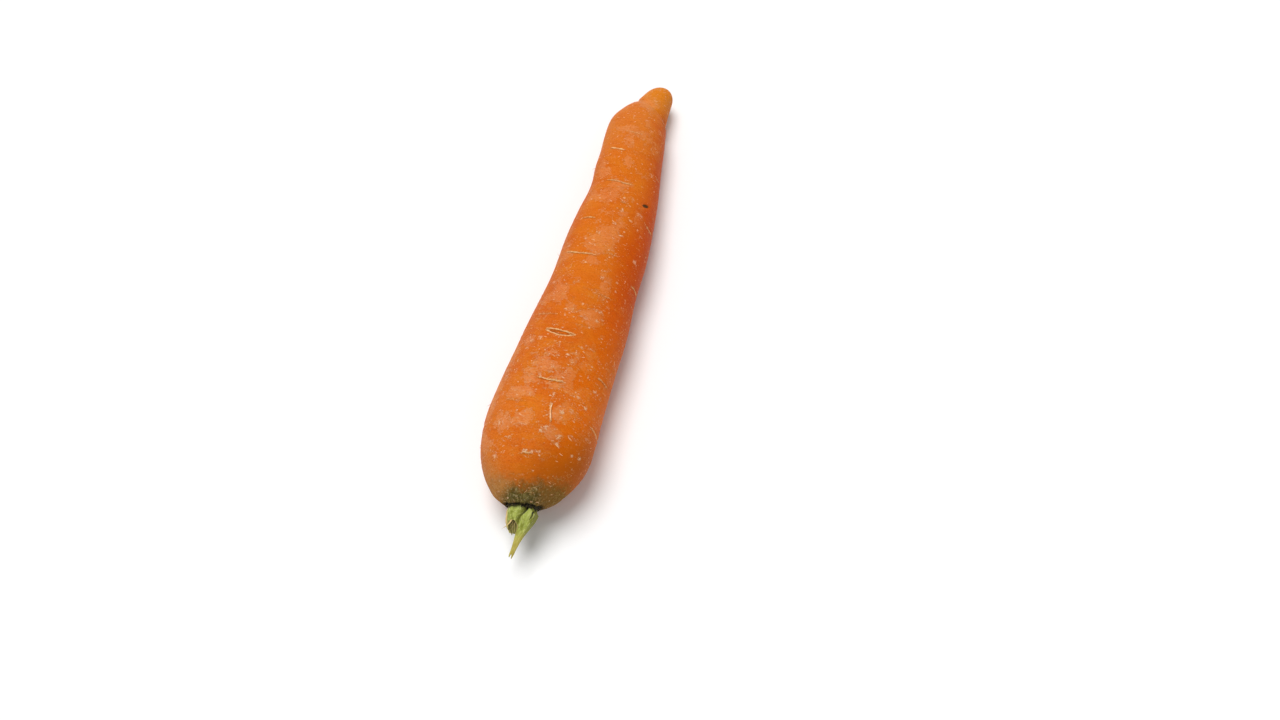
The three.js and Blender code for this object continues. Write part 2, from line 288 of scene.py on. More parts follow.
def past_groove(along, angle, middle):
    """Millimetres past a groove that slants and wavers as it runs round the root."""
    return along - middle - 0.5 * np.sin(3 * angle) - 0.2 * np.sin(9 * angle + middle)


def groove_relief(along, angle, grooves):
    """Height of grooves with raised lips."""
    relief = np.zeros_like(along)
    for middle, direction, span, depth, width in grooves:
        across = degrees_from(angle, direction) / (span / 2)
        lengthwise = past_groove(along, angle, middle) / width
        near = (np.abs(across) < 1) & (np.abs(lengthwise) < 3)
        profile = (1 - 2 * lengthwise[near] ** 2) * np.exp(-lengthwise[near] ** 2)
        relief[near] -= depth * profile * (1 - across[near] ** 2)
    return relief


def scar_lines(along, angle):
    """Millimetres from the healed line of the nearest scar, and how clearly that scar shows."""
    lines = []
    for middle, direction, span, depth, width in SCARS:
        across = degrees_from(angle, direction) / (span / 2)
        beside = past_groove(along, angle, middle)
        if width > GAPING:
            beside = np.abs(beside) - 0.4 * width * np.maximum(1 - across**2, 0)
        clear = np.clip(1.2 - across**2, 0, 1) * (np.abs(across) < 1) * min(depth / 0.36, 1)
        lines.append((beside, clear))
    middle, direction, half_length, _, slant = PINCH
    beside = np.radians(degrees_from(angle, direction + slant * (along - middle))) * PINCH_RADIUS
    lines.append((beside, np.clip(1.4 - np.abs(along - middle) / half_length, 0, 1)))

    offset = np.full_like(along, 3.0)
    shown = np.zeros_like(along)
    for beside, clear in lines:
        clear = clear * (1 - fade(1.0, 2.2, np.abs(beside)))
        nearer = clear > shown
        offset[nearer] = beside[nearer]
        shown[nearer] = clear[nearer]
    return offset, shown


def spot_mask(along, angle, spot):
    middle, direction, half_length, half_span, slant = spot
    across = degrees_from(angle, direction + slant * (along - middle)) / half_span
    return np.clip(1.3 - np.hypot(across, (along - middle) / half_length), 0, 1)


# Dried outer skin still clings in patches: distance from the rim, direction, half length, and
# half the degrees it spans.
BLOOM_PATCHES = [
    (24, 100, 3.4, 10), (20, 71, 2.6, 11), (29, 60, 4.5, 11), (33.6, 112, 2.4, 15),
    (37.6, 96, 1.6, 22), (39, 51, 5, 10), (45, 96, 5.2, 19), (48, 73, 6.5, 9),
    (53, 55, 5, 9), (22, 128, 3, 9), (33, 156, 9, 12), (48, 152, 8, 10),
    (16, 150, 6, 12), (55, 128, 3, 6), (68, 67, 3.2, 14), (68, 100, 2.6, 9),
    (75, 118, 6.5, 17), (82, 67, 6.5, 8), (98, 97, 9, 12), (106, 78, 8, 13),
    (96, 150, 8, 12), (114, 47, 5, 8), (121, 110, 2.6, 26), (127, 84, 5, 17),
    (135, 130, 4, 12), (140, 92, 4, 9), (154, 84, 4.5, 26), (160, 68, 4, 6),
    (152, 32, 8, 12), (174, 88, 3.6, 24),
]

# Clumps of loose skin that has begun to peel, measured in the same way.
PEELING_CLUMPS = [
    (11.5, 43, 0.7, 2.5), (11.5, 133, 1.5, 6), (13, 90, 0.8, 9), (15, 42, 0.7, 2.5),
    (15.5, 30, 1.1, 3.5), (16.5, 117, 0.9, 7), (17, 62, 0.7, 5), (19.5, 63, 1.2, 4),
    (20, 82, 0.9, 3), (21, 50, 1.1, 5), (21.5, 75, 1.3, 6), (21.5, 100, 0.6, 8),
    (21.8, 128, 1.4, 5), (23.5, 28, 0.8, 5), (26.5, 66, 1.0, 2.5), (29, 66, 1.5, 3.5),
    (29.5, 85, 0.4, 7), (30.5, 56, 1.1, 2.5), (33, 139, 0.8, 4), (34, 41, 1.2, 3.2),
    (34.5, 79, 1.6, 2), (40.4, 83, 0.4, 10), (40.5, 98, 1.0, 5), (42, 36, 0.8, 4),
    (45.5, 48, 1.0, 3.2), (46, 138, 1.2, 4), (54.5, 128, 1.1, 4), (66.5, 75, 0.6, 6),
    (67, 63, 0.7, 5), (68, 92, 1.2, 7), (68.5, 55, 0.7, 3), (71, 61, 0.8, 4),
    (78, 76, 0.9, 4), (80.5, 28, 1.0, 3), (80.5, 82, 0.6, 4), (81.8, 48, 0.5, 5),
    (84.5, 73, 1.0, 3), (85.5, 52, 0.7, 3), (86.5, 117, 0.8, 3), (96, 63, 0.7, 5),
    (102.5, 76, 0.9, 3), (104.5, 66, 0.6, 4), (108.5, 81, 0.8, 4), (110.5, 44, 0.9, 3),
    (112.5, 60, 0.6, 4), (115.5, 77, 1.1, 4), (120, 78, 0.5, 5),
]


def patch_mask(along, angle, patches):
    """1 in the middle of each patch, 0 at its edge, and less than that well away from it."""
    mask = np.full_like(along, -0.8)
    for middle, direction, half_length, half_span in patches:
        across = degrees_from(angle, direction) / half_span
        mask = np.maximum(mask, 1 - np.hypot(across, (along - middle) / half_length))
    return mask


def swelling(along, angle):
    """Slow swellings along and round the root, as a share of its radius."""
    oval = 0.016 * np.sin(2 * angle + 0.5 + along / 41)
    lobes = 0.011 * np.sin(3 * angle - 1.2 - along / 27)
    knuckles = 0.006 * np.sin(along / 4.9 + 2 * angle)
    return fade(3, 18, along) * (oval + lobes + knuckles)


FOLD_PLACE = 174
LIP_REACH = 4.5  # the lip rises from the shoulder this far behind the rim


def tail_fold(along, angle):
    """The slanting fold where the dome ends and the thin tail comes out of it."""
    beyond = along - FOLD_PLACE + 4.3 * np.cos(angle)
    return 0.25 * np.exp(-((beyond + 4) / 2.6) ** 2) - 0.65 * np.exp(-(beyond / 1.3) ** 2)


def crown_lip(along, angle, reach=LIP_REACH):
    """How far the fleshy lip round the crown's pit leans out over it, most at the top."""
    return 1.8 * (0.42 + 0.5 * np.cos(angle - math.radians(80))) * (1 - fade(0, reach, along))


def rim_tears(along, angle):
    """How far the torn edge of the lip stands out or in, round the pit."""
    edge = np.sin(9 * angle + 1) + 0.7 * np.sin(17 * angle + 2) + 0.5 * np.sin(37 * angle)
    return 0.16 * edge * (1 - fade(0, 1.6, along))


def crown_puckers(along, angle):
    """Low ribs that run out from the rim over the crown."""
    ribs = np.sin(11 * angle + 0.8 * np.sin(3 * angle)) + 0.5 * np.sin(23 * angle + 1)
    return 0.12 * ribs * fade(0, 0.8, along) * (1 - fade(2, 7, along))


def skin_relief(along, angle):
    """Height of the skin over the smooth root."""
    relief = groove_relief(along, angle, SCARS) + groove_relief(along, angle, WRINKLES)
    relief += tail_fold(along, angle) + crown_puckers(along, angle)
    return relief - 0.25 * spot_mask(along, angle, PINCH) - 0.5 * spot_mask(along, angle, PIT)


carrot = extruded_along_y("carrot_root", root_rings(), ROOT_SIDES, ROOT_LENGTH)
subdivided(carrot, ROOT_SUBDIVISIONS)
straight = points_of(carrot)
# Subdividing a ring of so few sides draws it in by this share.
straight[:, [0, 2]] /= 1 - (1 - math.cos(2 * math.pi / ROOT_SIDES)) / 3
along = straight[:, 1]
angle = np.arctan2(straight[:, 2], straight[:, 0])
radius = np.hypot(straight[:, 0], straight[:, 2])
outside = fade(RECESS_RADIUS + 0.2, RECESS_RADIUS + 1.0, radius)
outside = np.clip(outside + (along > 8), 0, 1)
share = 1 + outside * (swelling(along, angle) + skin_relief(along, angle) / np.maximum(radius, 3))
scar_offset, scar_shown = scar_lines(along, angle)
keep_attribute(carrot, "skin", straight)
keep_attribute(carrot, "scar", scar_shown)
keep_attribute(carrot, "scar_line", scar_offset)
keep_attribute(carrot, "pit", spot_mask(along, angle, PIT))
keep_attribute(carrot, "bloom", patch_mask(along, angle, BLOOM_PATCHES))
keep_attribute(carrot, "peeling", patch_mask(along, angle, PEELING_CLUMPS))
sculpted = straight * columns(share, np.ones_like(share), share)
reach = np.where(radius < RECESS_RADIUS + 0.3, RECESS_DEPTH, LIP_REACH)
sculpted[:, 1] -= crown_lip(along, angle, reach) + rim_tears(along, angle)
laid = laid_along_root(sculpted)
laid[:, 2] = np.maximum(laid[:, 2], 0)
move_points(carrot, laid)

# ---- Root: its skin -------------------------------------------------------------------------
# Orange flesh under a thin dry skin that peels in places. The crown is green and ochre, and old
# scars of side roots have healed as pale cork. The skin is part of the root itself.


def put(tree, kind, settings=None, inputs=None):
    """Adds a node, sets its options, and fills or wires its inputs."""
    node = tree.nodes.new(kind)
    for name, value in (settings or {}).items():
        setattr(node, name, value)
    for name, value in (inputs or {}).items():
        if isinstance(value, bpy.types.NodeSocket):
            tree.links.new(value, node.inputs[name])
        else:
            node.inputs[name].default_value = value
    return node


def tree_of(*values):
    """The node tree of the first socket among these values."""
    return next(value.id_data for value in values if isinstance(value, bpy.types.NodeSocket))


def maths(operation, a, b=0.0):
    settings = {"operation": operation}
    return put(tree_of(a, b), "ShaderNodeMath", settings, {0: a, 1: b}).outputs[0]


def folded(operation, values):
    result = values[0]
    for value in values[1:]:
        result = maths(operation, result, value)
    return result


def total(*values):
    return folded("ADD", values)


def times(*values):
    return folded("MULTIPLY", values)


def strongest(*masks):
    return folded("MAXIMUM", masks)


def inverse(mask):
    return maths("SUBTRACT", 1.0, mask)


def swing(noise_value, reach):
    """A noise about zero in place of about a half, times its reach."""
    return times(maths("SUBTRACT", noise_value, 0.5), reach)


def ramp(value, low, high):
    """0 below low, 1 above high, and smooth between."""
    settings = {"interpolation_type": "SMOOTHSTEP"}
    inputs = {"Value": value, "From Min": low, "From Max": high}
    return put(tree_of(value), "ShaderNodeMapRange", settings, inputs).outputs[0]


def noise(place, scale, detail=3.0, roughness=0.55):
    inputs = {"Vector": place, "Scale": scale, "Detail": detail, "Roughness": roughness}
    return put(tree_of(place), "ShaderNodeTexNoise", {}, inputs).outputs[0]


def stretched(place, scale, shift=(0, 0, 0)):
    inputs = {"Vector": place, "Scale": scale, "Location": shift}
    return put(tree_of(place), "ShaderNodeMapping", {}, inputs).outputs[0]


def pushed(place, scale, reach, detail=2.0):
    """Places pushed about by a noise, so that a pattern on them wanders."""
    tree = tree_of(place)
    inputs = {"Vector": place, "Scale": scale, "Detail": detail}
    push = put(tree, "ShaderNodeTexNoise", {}, inputs).outputs["Color"]
    settings = {"operation": "SCALE"}
    push = put(tree, "ShaderNodeVectorMath", settings, {0: push, "Scale": reach}).outputs[0]
    return put(tree, "ShaderNodeVectorMath", {"operation": "ADD"}, {0: place, 1: push}).outputs[0]


def rgb(red, green, blue):
    """A colour given in screen values from 0 to 255."""
    def linear(c):
        c /= 255
        return c / 12.92 if c <= 0.04045 else ((c + 0.055) / 1.055) ** 2.4
    return (linear(red), linear(green), linear(blue), 1.0)


def painted(below, tone, *masks, blend="MIX"):
    """Paints a tone over another by as much as the masks' product. Tones are screen values."""
    below, tone = (t if isinstance(t, bpy.types.NodeSocket) else rgb(*t) for t in (below, tone))
    mask = times(*masks)
    settings = {"data_type": "RGBA", "blend_type": blend}
    return put(tree_of(mask), "ShaderNodeMix", settings, {0: mask, 6: below, 7: tone}).outputs[2]


def new_group(name):
    """A node group for small marks: it takes their place, scale, share and size."""
    group = bpy.data.node_groups.new(name, "ShaderNodeTree")
    group.interface.new_socket("Place", in_out="INPUT", socket_type="NodeSocketVector")
    for label in ("Scale", "Share", "Size"):
        group.interface.new_socket(label, in_out="INPUT", socket_type="NodeSocketFloat")
    group.interface.new_socket("Mask", in_out="OUTPUT", socket_type="NodeSocketFloat")
    return group, group.nodes.new("NodeGroupInput").outputs


def end_group(group, mask):
    group.links.new(mask, group.nodes.new("NodeGroupOutput").inputs["Mask"])
    return group


def flecks_group():
    """Scattered flecks: each cell of a pattern may hold one, of its own size."""
    group, given = new_group("flecks")
    cells = put(
        group, "ShaderNodeTexVoronoi", {"feature": "F1"},
        {"Vector": given["Place"], "Scale": given["Scale"], "Randomness": 1.0},
    ).outputs
    chance = put(group, "ShaderNodeSeparateColor", {}, {0: cells["Color"]}).outputs
    there = maths("LESS_THAN", chance[0], given["Share"])
    size = times(given["Size"], total(chance[1], 0.3))
    edge = ramp(cells["Distance"], times(size, 0.6), size)
    return end_group(group, times(there, inverse(edge)))


def curls_group():
    """Thin broken lines that wander: fine curls and scratches of loose skin."""
    group, given = new_group("curls")
    lines = noise(given["Place"], given["Scale"], 2.0, 0.5)
    off_line = maths("ABSOLUTE", maths("SUBTRACT", lines, 0.5))
    line = ramp(off_line, given["Size"], 0.0)
    breaks = noise(stretched(given["Place"], (1, 1, 1), (41, 17, 23)), given["Scale"], 2.0, 0.5)
    start = maths("SUBTRACT", 0.72, times(given["Share"], 0.4))
    kept = ramp(breaks, start, total(start, 0.03))
    return end_group(group, times(line, kept))


FLECKS = flecks_group()
CURLS = curls_group()


def pattern(group, place, scale, size, share):
    """Small marks: how close they stand, how big or wide each is, and how many are there."""
    inputs = {"Place": place, "Scale": scale, "Share": share, "Size": size}
    return put(tree_of(place), "ShaderNodeGroup", {"node_tree": group}, inputs).outputs["Mask"]


def new_material(name):
    material = bpy.data.materials.new(name)
    material.use_nodes = True
    tree = material.node_tree
    return material, tree, tree.nodes["Principled BSDF"]


def stored(tree, name, output="Fac"):
    """What the mesh stores at each point under a name."""
    return put(tree, "ShaderNodeAttribute", {"attribute_name": name}).outputs[output]


def add_relief(shader, height, strength, millimetres):
    tree = tree_of(height)
    inputs = {"Strength": strength, "Distance": millimetres * MM, "Height": height}
    bump = put(tree, "ShaderNodeBump", {}, inputs)
    tree.links.new(bump.outputs[0], shader.inputs["Normal"])


def let_light_in(shader, weight, red_green_blue, millimetres):
    """Light goes a little way into the flesh, each colour by its own share of the distance."""
    shader.inputs["Subsurface Weight"].default_value = weight
    shader.inputs["Subsurface Radius"].default_value = red_green_blue
    shader.inputs["Subsurface Scale"].default_value = millimetres * MM


def skin_material():
    material, tree, shader = new_material("carrot_skin")
    skin = stored(tree, "skin", "Vector")
    across, along = put(tree, "ShaderNodeSeparateXYZ", {}, {0: skin}).outputs[:2]
    warped = pushed(skin, 0.9, 3.0, detail=4.0)

    # Flesh under the skin: clear orange, deeper in slow patches, ochre at the tail's tip.
    slow = noise(stretched(skin, (1, 0.6, 1)), 0.05, 2.0)
    colour = painted((216, 107, 10), (210, 97, 5), ramp(slow, 0.40, 0.62))
    cloudy = noise(stretched(skin, (1, 1.6, 1), (31, 7, 3)), 0.12, 4.0, 0.6)
    colour = painted(colour, (220, 121, 18), ramp(cloudy, 0.44, 0.70), 0.6)
    colour = painted(colour, (224, 134, 52), ramp(along, 136.0, 158.0), 0.4)
    tail = ramp(total(along, times(across, 0.6)), 172.0, 179.0)
    colour = painted(colour, (222, 128, 18), tail, 0.85)
    # Painted shade: the right side is made darker and redder, deepest further back from the crown,
    # and it keeps less of the pale bloom below.
    shaded_right_side = ramp(total(across, times(slow, 6.0)), 7.0, 18.0)
    right_shade_tone = painted((232, 112, 8), (206, 72, 0), ramp(along, 45.0, 90.0))
    colour = painted(colour, right_shade_tone, shaded_right_side, 0.8)

    # Growth bands: very fine light and dark lines across the root.
    bands = noise(stretched(warped, (0.12, 1.9, 0.12)), 1.0, 4.0, 0.7)
    light_band = ramp(bands, 0.53, 0.70)
    colour = painted(colour, (234, 138, 46), light_band, 0.32)
    colour = painted(colour, (186, 72, 2), ramp(bands, 0.46, 0.30), 0.32)

    # Bloom: dried outer skin, matt and pinkish white, rubbed off in patches with sharp
    # edges. More of it is gone towards the tail, and it is thinned down the right side as part of
    # the painted shade there.
    clouds = noise(stretched(warped, (1, 1.2, 1), (5, 0, 9)), 0.16, 5.0, 0.66)
    bloom = ramp(total(clouds, times(stored(tree, "bloom"), 0.14)), 0.51, 0.54)
    mottle = noise(stretched(skin, (0.6, 1.7, 0.6), (2, 0, 8)), 1.3, 4.0, 0.75)
    worn = total(times(ramp(mottle, 0.38, 0.60), 0.55), times(light_band, 0.45))
    worn_bloom = times(bloom, worn)
    # Less bloom towards the tail is wear; less down the right side is painted shade.
    rubbed_and_shaded = total(times(ramp(along, 50.0, 75.0), 0.25), times(shaded_right_side, 0.55))
    clinging_outside_shade = inverse(rubbed_and_shaded)
    haze = total(times(bloom, 0.10), times(worn_bloom, 0.42), times(worn, 0.10))
    colour = painted(colour, (238, 172, 120), haze, clinging_outside_shade)
    peeling = times(bloom, inverse(bloom), 4.0, ramp(mottle, 0.42, 0.58))
    colour = painted(colour, (244, 192, 148), peeling, clinging_outside_shade, 0.5)

    # Pores and fine grime between the bits of skin.
    grit = noise(stretched(skin, (0.8, 1.5, 0.8), (1, 4, 2)), 2.0, 5.0, 0.8)
    colour = painted(colour, (136, 50, 2), ramp(grit, 0.50, 0.34), 0.38)
    grain = ramp(grit, 0.54, 0.68)
    colour = painted(colour, (246, 178, 112), grain, clinging_outside_shade, 0.24)

    # The crown: green where light reached it, ochre beyond, beige to the left, brown to the right.
    ragged = noise(stretched(skin, (1, 1, 1), (3, 3, 3)), 0.45, 5.0, 0.65)
    shifted = total(along, swing(ragged, 6.0))
    olive = ramp(total(shifted, times(across, -0.9)), 17.0, -4.0)
    colour = painted(colour, (180, 90, 6), olive, 0.85)
    streaks = noise(stretched(skin, (1.3, 0.3, 1.3), (6, 2, 6)), 1.0, 4.0, 0.7)
    sideways = maths("ABSOLUTE", across)
    green = ramp(total(shifted, times(sideways, -0.17)), 6.0, 1.0)
    at_rim = ramp(along, 5.0, 0.5)
    left_place = total(across, times(streaks, 3.0), times(at_rim, 5.0))
    left = ramp(left_place, 2.0, -5.2)
    right = ramp(total(across, times(streaks, 6.0)), 6.0, 11.0)
    green_tone = painted((60, 66, 28), (106, 102, 54), ramp(streaks, 0.40, 0.62))
    green_tone = painted(green_tone, (122, 90, 42), right, 0.85)
    green_tone = painted(green_tone, (174, 114, 52), left, 0.85)
    colour = painted(colour, green_tone, green, 0.92)
    sheath_place = total(along, times(streaks, 8.0), times(across, 0.7))
    sheathed = times(ramp(sheath_place, 10.0, -1.0), left)
    colour = painted(colour, (170, 108, 50), sheathed, 0.45)
    colour = painted(colour, (202, 146, 82), sheathed, worn, 0.8)
    colour = painted(colour, (186, 170, 124), ramp(streaks, 0.60, 0.68), green, 0.6)
    frost = ramp(total(shifted, times(sideways, -0.35)), 6.0, 0.0)
    colour = painted(colour, (196, 184, 148), frost, grain, 0.62)
    # Painted shade: the torn edge of the lip round the pit is made nearly black, partly dried
    # remnants and partly the shade of the gap under the lip.
    rim = ramp(total(along, times(ragged, 1.2)), 0.95, 0.45)
    colour = painted(colour, (40, 36, 20), rim, 0.9)

    # Painted shade down the right side: the colour is made deeper and redder, and its blue is taken
    # out.
    colour = painted(colour, (255, 248, 137), shaded_right_side, 0.8, blend="MULTIPLY")

    # Loose skin: pale specks, ragged flakes, and thin curls and scratches. There is less of it
    # towards the tail, and hardly any in the smooth band behind the green crown.
    area = noise(stretched(skin, (1, 1, 1), (7, 1, 4)), 0.09, 3.0)
    sparse = inverse(times(ramp(along, 55.0, 120.0), 0.5))
    smooth_band = ramp(maths("ABSOLUTE", total(along, -8.0)), 2.0, 5.0)
    rough_area = times(
        strongest(ramp(area, 0.42, 0.60), times(bloom, 0.6)),
        total(times(smooth_band, 0.8), 0.2),
        sparse,
    )

    def share(rough, elsewhere):
        return total(times(rough_area, rough), times(sparse, elsewhere))

    bitty = pushed(skin, 2.6, 1.3)
    specks = pattern(FLECKS, stretched(bitty, (0.8, 1.5, 0.8)), 1.15, 0.36, share(0.22, 0.03))
    dots_place = stretched(bitty, (1, 1, 1), (9, 5, 2))
    dots = pattern(FLECKS, dots_place, 2.1, 0.36, share(0.15, 0.02))
    ticks_place = stretched(bitty, (0.45, 1.9, 0.45), (4, 6, 1))
    ticks = pattern(FLECKS, ticks_place, 1.3, 0.34, share(0.22, 0.04))
    clumps_place = stretched(warped, (0.8, 1.1, 0.8), (6, 3, 7))
    clumps = pattern(FLECKS, clumps_place, 0.33, 0.36, share(0.30, 0.03))
    placed_clumps = total(stored(tree, "peeling"), swing(grit, 2.0))
    clumps = strongest(clumps, ramp(placed_clumps, 0.0, 0.35))
    strokes = pattern(CURLS, stretched(bitty, (0.7, 1.0, 0.7), (2, 2, 5)), 0.62, 0.05, 1.0)
    clumps = times(clumps, total(strokes, times(grain, 0.5)))
    flakes_noise = noise(stretched(warped, (1, 1.7, 1), (9, 4, 1)), 0.5, 5.0, 0.7)
    flakes = times(ramp(flakes_noise, 0.625, 0.65), rough_area)
    curly = total(times(rough_area, 0.25), 0.16)
    curls = pattern(CURLS, stretched(skin, (0.5, 1.5, 0.5)), 0.42, 0.011, curly)
    scratches_place = stretched(warped, (0.14, 1.2, 0.14), (3, 8, 5))
    scratches = pattern(CURLS, scratches_place, 1.0, 0.016, times(sparse, 0.36))
    for tone, mask, strength in (
        ((240, 184, 142), flakes, 0.55),
        ((248, 206, 166), clumps, 0.8),
        ((246, 206, 164), specks, 0.72),
        ((244, 196, 150), dots, 0.6),
        ((242, 192, 136), ticks, 0.55),
        ((246, 200, 140), curls, 0.6),
        ((242, 184, 112), scratches, 0.6),
    ):
        colour = painted(colour, tone, mask, strength)

    # Scars heal as pale broken lines of cork, with a brown line beside them that is painted shadow
    # along the scar. The pit is nearly black.
    scar = stored(tree, "scar")
    uneven = total(scar, swing(grit, 2.4))
    kept = times(ramp(uneven, 0.35, 0.60), ramp(scar, 0.05, 0.3))
    wandering = total(stored(tree, "scar_line"), swing(mottle, 1.4))
    cork = times(ramp(maths("ABSOLUTE", wandering), 0.30, 0.12), kept)
    colour = painted(colour, (246, 204, 144), cork, 0.85)
    beside_cork = maths("ABSOLUTE", total(wandering, 0.42))
    # Painted shadow: a brown line just beside each cork line.
    split_shadow = times(ramp(beside_cork, 0.26, 0.08), kept)
    colour = painted(colour, (158, 78, 18), split_shadow, 0.5)
    pitted = ramp(total(stored(tree, "pit"), times(mottle, 0.8)), 0.75, 0.95)
    colour = painted(colour, (62, 52, 26), pitted, 0.92)
    tree.links.new(colour, shader.inputs["Base Color"])

    # Rubbed skin is glossier than the dry bloom, the green crown and the loose bits.
    dry = strongest(worn_bloom, specks, dots, clumps, flakes, curls, green, cork)
    tree.links.new(total(times(dry, 0.28), 0.42), shader.inputs["Roughness"])
    shader.inputs["Specular IOR Level"].default_value = 0.03
    fine = noise(stretched(skin, (0.6, 1.8, 0.6)), 2.4, 4.0, 0.6)
    height = total(*(times(mask, weight) for mask, weight in (
        (fine, 0.3), (grit, 0.7), (bands, 0.4), (bloom, 0.10), (specks, 0.35), (dots, 0.25),
        (ticks, 0.3), (peeling, 0.3), (flakes, 0.25), (clumps, 0.35), (curls, 0.4),
        (scratches, 0.3), (cork, 0.3), (split_shadow, -0.6),
    )))
    add_relief(shader, height, 0.75, 0.35)
    let_light_in(shader, 0.08, (1.0, 0.35, 0.12), 1.5)
    return material


carrot.data.materials.append(skin_material())
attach(carrot, "root")
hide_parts("root")

# ---- Dried leaf bases -----------------------------------------------------------------------
# The feet of older leaves, dried to thin papery scales, nearly black: partly their own dark colour
# and partly painted shade of the gap round the stalks. They stand close together in a ring round the
# green stalks, and grow from the wall of the pit in the crown.

SCALE_RING_RADIUS = 5.75  # to the middle of the scales
SCALE_RING_DEPTH = 2.6  # the ring reaches this far down the pit
SCALE_COUNT = 26


def joined(pieces):
    bpy.ops.object.select_all(action="DESELECT")
    for piece in pieces:
        piece.select_set(True)
    bpy.context.view_layer.objects.active = pieces[0]
    bpy.ops.object.join()
    return pieces[0]


def strips(name, thickness, cuts, shapes):
    """Thin strips joined into one piece.

    shapes takes the points of one flat strip, 1 wide and lying along Y from 0 to -1, which is cut
    finely enough to bend, and gives the points of each strip in turn.
    """
    bpy.ops.object.select_all(action="DESELECT")
    bpy.ops.mesh.primitive_cube_add(size=1, location=(0, -0.5, 0))
    flat = bpy.context.object
    bpy.ops.object.transform_apply(location=True, rotation=True, scale=True)
    bpy.ops.object.mode_set(mode="EDIT")
    bpy.ops.mesh.select_all(action="SELECT")
    bpy.ops.transform.resize(value=(1, 1, thickness), center_override=(0, 0, 0))
    bpy.ops.mesh.subdivide(number_cuts=cuts)
    bpy.ops.object.mode_set(mode="OBJECT")
    made = []
    for points in shapes(points_of(flat)):
        made.append(flat.copy())
        made[-1].data = flat.data.copy()
        bpy.context.scene.collection.objects.link(made[-1])
        move_points(made[-1], points)
    bpy.data.objects.remove(flat)
    piece = joined(made)
    piece.name = name
    smooth(piece)
    return piece


def wrapped(points, along, direction, radius):
    """Bends flat points round the root: across, lengthwise and outwards become a place on it."""
    angle = direction + points[:, 0] / radius
    outwards = radius + points[:, 2]
    return columns(outwards * np.cos(angle), along + points[:, 1], outwards * np.sin(angle))


def scale_shapes(flat):
    """Each scale: broad at its foot, torn across at its tip, and leaning in or out."""
    draw = random.Random(5)
    for i in range(SCALE_COUNT):
        direction = (i + draw.uniform(-0.5, 0.5)) / SCALE_COUNT * 2 * math.pi
        lip = crown_lip(np.zeros(1), np.array([direction]))[0]
        length = SCALE_RING_DEPTH + lip + draw.choice([0.0, 0.2, 0.4, 0.8]) + draw.uniform(0, 0.2)
        out = -flat[:, 1]  # 0 at the foot, 1 at the tip
        width = draw.uniform(2.0, 4.4) * (1 - draw.uniform(0.1, 0.4) * out**3)
        phase = draw.uniform(0, 6)
        torn = 0.22 * np.sin(draw.uniform(4, 8) * flat[:, 0] + phase) * out**2
        torn += 0.12 * np.sin(17 * flat[:, 0] + 2 * phase) * out**2
        bent = columns(
            flat[:, 0] * width + draw.uniform(-0.7, 0.7) * out**2,
            flat[:, 1] * length + torn,
            flat[:, 2] + draw.uniform(-0.35, 0.2) + draw.uniform(-0.5, 0.3) * out**3,
        )
        yield laid_along_root(wrapped(bent, SCALE_RING_DEPTH, direction, SCALE_RING_RADIUS))


def dry_material(name, dark, light, light_from):
    """Papery, streaked along its length from one tone to the other."""
    material, tree, shader = new_material(name)
    place = put(tree, "ShaderNodeTexCoord").outputs["Object"]
    streaks = noise(stretched(place, (2400, 500, 2400)), 1.0, 4.0, 0.7)
    colour = painted(dark, light, ramp(streaks, 0.50, light_from))
    tree.links.new(colour, shader.inputs["Base Color"])
    add_relief(shader, streaks, 0.7, 0.2)
    shader.inputs["Roughness"].default_value = 0.85
    shader.inputs["Specular IOR Level"].default_value = 0.2
    return material


scales = strips("dried_leaf_bases", 0.12, 8, scale_shapes)
# The near-black tone is partly the scales' own colour and partly painted shade of the gap round the
# stalks.
scales.data.materials.append(dry_material("dry_scale", (40, 36, 22), (124, 106, 66), 0.72))
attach(scales, "root")
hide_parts("dry_scales")

# ---- Leaf stalks ----------------------------------------------------------------------------
# Three green leaf stalks, snapped off a little way out of the crown: a long one torn down to one
# strip, a short hollow one, and a short solid one beneath. They stand on the floor of the pit.

STALK_BASE = 2.7
CLUMP_RADIUS = 5.0
UNDER_TOP = -2.1  # the stalk beneath fills the clump up to this height
STALK_SIDES = 24
SPLIT_GAP = 0.06  # between neighbouring stalks


def split_at(out):
    """Where the upright face between the long stalk and the hollow one stands."""
    return 2.3 - 1.9 * fade(5.2, 9.2, out)


def split_gap(out):
    """The two have dried apart near their feet, and still touch further out."""
    return SPLIT_GAP + 0.36 * (1 - fade(5.2, 8.2, out))


def kept_in_clump(points):
    radius = np.hypot(points[:, 0], points[:, 2])
    limit = CLUMP_RADIUS + 2 * fade(4.6, 8.5, -points[:, 1])
    share = np.minimum(1, limit / np.maximum(radius, 1e-6))
    points[:, 0] *= share
    points[:, 2] *= share


def ribbed(angle, out, ribs, depth):
    """Ribs and finer fibres along a stalk, as a factor on its radius."""
    fibres = 0.010 * np.sin(31 * angle + 2) + 0.008 * np.sin(47 * angle)
    return 1 + fade(1, 6, out) * (depth * np.cos(ribs * angle) + fibres)


def stalk(name, rings, course, shape):
    """A snapped stalk that points out of the crown.

    rings lists radius and distance outwards, course lists distance outwards with the sideways
    offset and height of its middle there, and shape moves the points before that is added.
    """
    closing = rings[-1][1]
    piece = extruded_along_y(name, [(r, -out) for r, out in rings[:-1]], STALK_SIDES, -closing)
    subdivided(piece, 2)
    points = points_of(piece)
    keep_attribute(piece, "stalk", points)
    shape(points, -points[:, 1], np.arctan2(points[:, 2], points[:, 0]))
    places = np.array(course)
    points[:, 0] += np.interp(-points[:, 1], places[:, 0], places[:, 1])
    points[:, 2] += np.interp(-points[:, 1], places[:, 0], places[:, 2])
    kept_in_clump(points)
    return piece, points


